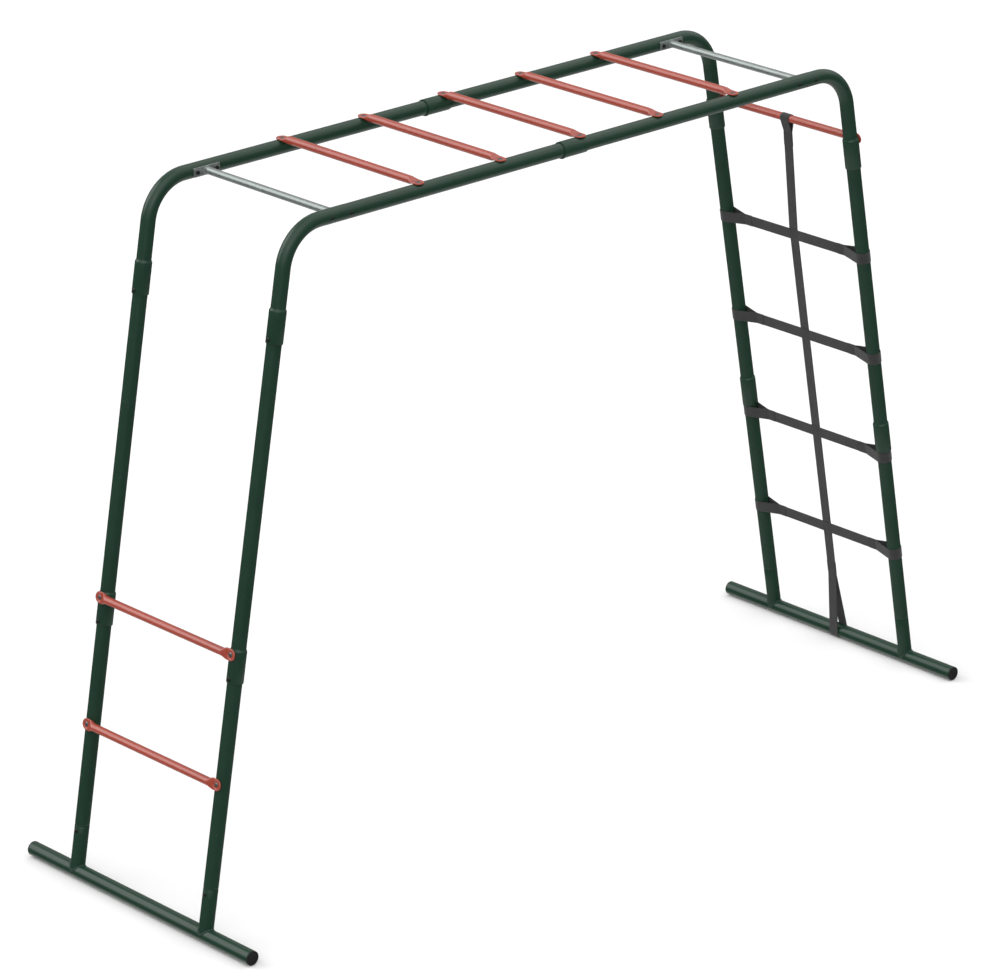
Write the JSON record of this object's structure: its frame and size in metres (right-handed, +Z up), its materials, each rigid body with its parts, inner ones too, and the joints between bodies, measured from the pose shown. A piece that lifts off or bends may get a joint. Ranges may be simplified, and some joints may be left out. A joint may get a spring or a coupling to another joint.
{
  "type": "monkey bars climbing frame",
  "caption": "Freestanding monkey bars: splayed bent-tube side frames joined by overhead rungs, a rung ladder at one end and a webbing cargo net at the other.",
  "frame": {"origin": "on the ground, at the middle of the footprint", "axes": "+Z up, +X towards the cargo-net end, +Y towards the left side frame, which is left when facing the net end"},
  "size_m": [2.8649, 0.96, 2.0117],
  "materials": {
    "green_frame": "semi-gloss dark green powder coat",
    "red_rung": "semi-gloss coral red powder coat",
    "galvanised_brace": "dull hot-dip galvanised",
    "fasteners": "dark plated steel",
    "end_cap": "matt black plastic",
    "webbing": "black woven polyester webbing"
  },
  "bodies": {
    "root": {"brace_bolts": "fasteners", "brace_nuts": "fasteners", "foot_screws": "fasteners", "ladder_end_brace": "galvanised_brace", "ladder_ground_tube": "green_frame", "ladder_left_corner_tube": "green_frame", "ladder_left_end_cap": "end_cap", "ladder_left_lower_leg": "green_frame", "ladder_left_upper_leg": "green_frame", "ladder_right_corner_tube": "green_frame", "ladder_right_end_cap": "end_cap", "ladder_right_lower_leg": "green_frame", "ladder_right_upper_leg": "green_frame", "ladder_rung_lower": "red_rung", "ladder_rung_screws": "fasteners", "ladder_rung_upper": "red_rung", "leg_joint_screws": "fasteners", "net_bar_screws": "fasteners", "net_cross_strap_1": "webbing", "net_cross_strap_2": "webbing", "net_cross_strap_3": "webbing", "net_cross_strap_4": "webbing", "net_end_brace": "galvanised_brace", "net_ground_tube": "green_frame", "net_left_corner_tube": "green_frame", "net_left_end_cap": "end_cap", "net_left_lower_leg": "green_frame", "net_left_upper_leg": "green_frame", "net_right_corner_tube": "green_frame", "net_right_end_cap": "end_cap", "net_right_lower_leg": "green_frame", "net_right_upper_leg": "green_frame", "net_top_bar": "red_rung", "net_upright_strap": "webbing", "overhead_rung_1": "red_rung", "overhead_rung_2": "red_rung", "overhead_rung_3": "red_rung", "overhead_rung_4": "red_rung", "overhead_rung_5": "red_rung", "overhead_rung_screws": "fasteners", "rail_joint_screws": "fasteners"}
  },
  "joints": []
}
